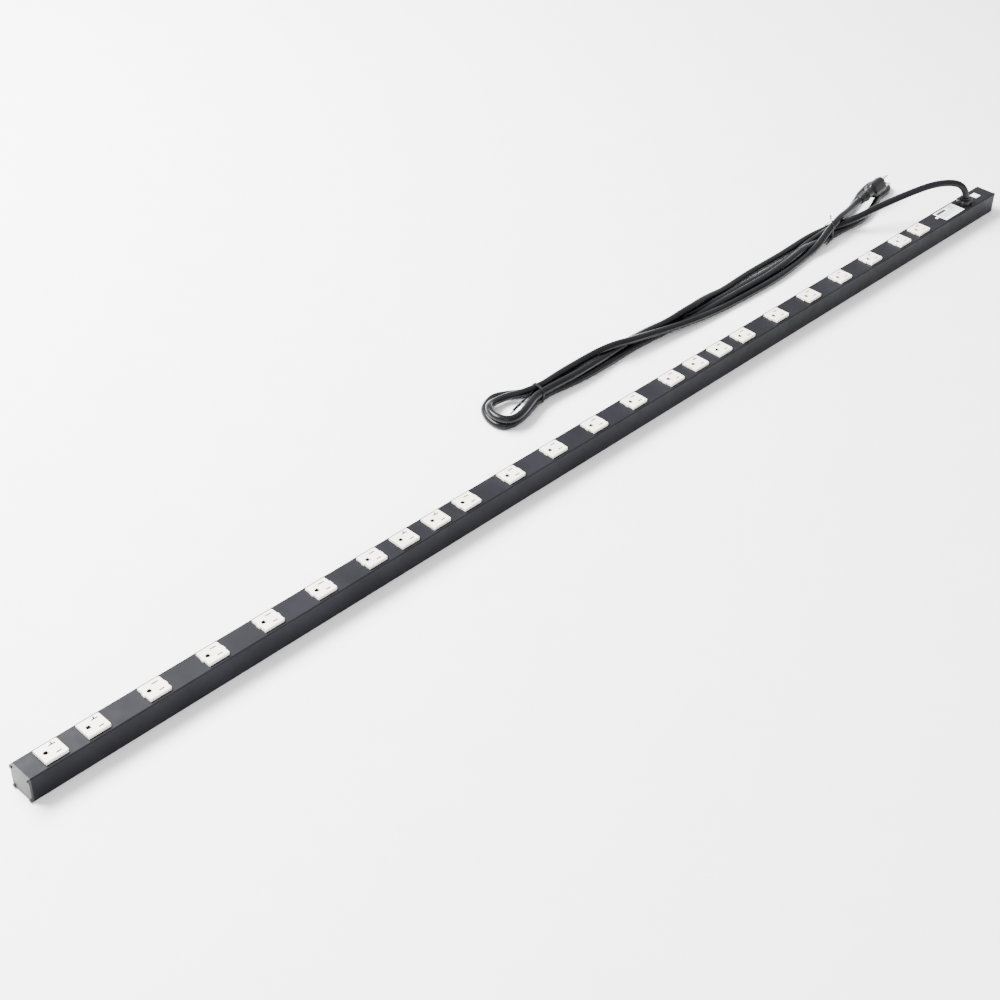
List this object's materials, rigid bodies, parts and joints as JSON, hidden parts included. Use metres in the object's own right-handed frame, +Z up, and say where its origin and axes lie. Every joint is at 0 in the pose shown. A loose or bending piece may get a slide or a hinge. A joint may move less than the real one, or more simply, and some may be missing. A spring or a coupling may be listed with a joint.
{
  "type": "rack power strip",
  "caption": "Long slim power strip: snap-in three-pin outlets in a row along a painted metal channel, with a tied supply cord and moulded plug.",
  "frame": {"origin": "centre of the strip's footprint, on its flat underside", "axes": "+X along the strip towards the end the cord leaves, +Y towards the side the cord lies on, +Z up out of the outlet faces"},
  "size_m": [1.7812, 0.1865, 0.0724],
  "materials": {
    "black_paint": "satin",
    "end_metal": "satin",
    "black_screw": "satin",
    "outlet_plastic": "semi-matt",
    "contact_brass": "bright",
    "carrier_plastic": "matt",
    "line_insulation": "gloss",
    "neutral_insulation": "gloss",
    "ground_insulation": "gloss",
    "zinc_screw": "zinc plated",
    "relief_plastic": "satin",
    "label_stock": "semi-gloss",
    "cord_jacket": "gloss",
    "tie_plastic": "gloss",
    "plug_plastic": "semi-matt",
    "plug_metal": "nickel plated"
  },
  "bodies": {
    "root": {"housing_channel": "black_paint", "base_plate": "black_paint", "end_cap_near": "end_metal", "end_cap_far": "end_metal", "end_screws_near": "black_screw", "end_screws_far": "black_screw", "outlet_01": "outlet_plastic", "outlet_02": "outlet_plastic", "outlet_03": "outlet_plastic", "outlet_04": "outlet_plastic", "outlet_05": "outlet_plastic", "outlet_06": "outlet_plastic", "outlet_07": "outlet_plastic", "outlet_08": "outlet_plastic", "outlet_09": "outlet_plastic", "outlet_10": "outlet_plastic", "outlet_11": "outlet_plastic", "outlet_12": "outlet_plastic", "outlet_13": "outlet_plastic", "outlet_14": "outlet_plastic", "outlet_15": "outlet_plastic", "outlet_16": "outlet_plastic", "outlet_17": "outlet_plastic", "outlet_18": "outlet_plastic", "outlet_19": "outlet_plastic", "outlet_20": "outlet_plastic", "outlet_21": "outlet_plastic", "outlet_22": "outlet_plastic", "outlet_23": "outlet_plastic", "outlet_24": "outlet_plastic", "line_bus": "contact_brass", "neutral_bus": "contact_brass", "ground_bus": "contact_brass", "bus_carrier": "carrier_plastic", "line_lead": "line_insulation", "neutral_lead": "neutral_insulation", "ground_lead": "ground_insulation", "bonding_lead": "ground_insulation", "bonding_screw": "zinc_screw", "strain_relief_shell": "relief_plastic", "strain_relief_wedge": "relief_plastic", "rating_label": "label_stock", "inspection_sticker": "label_stock", "power_cord": "cord_jacket", "cord_hank": "cord_jacket", "cord_tail": "cord_jacket", "hank_tie_near": "tie_plastic", "hank_tie_far": "tie_plastic", "plug_body": "plug_plastic", "plug_line_blade": "plug_metal", "plug_neutral_blade": "plug_metal", "plug_ground_pin": "plug_metal"}
  },
  "joints": []
}
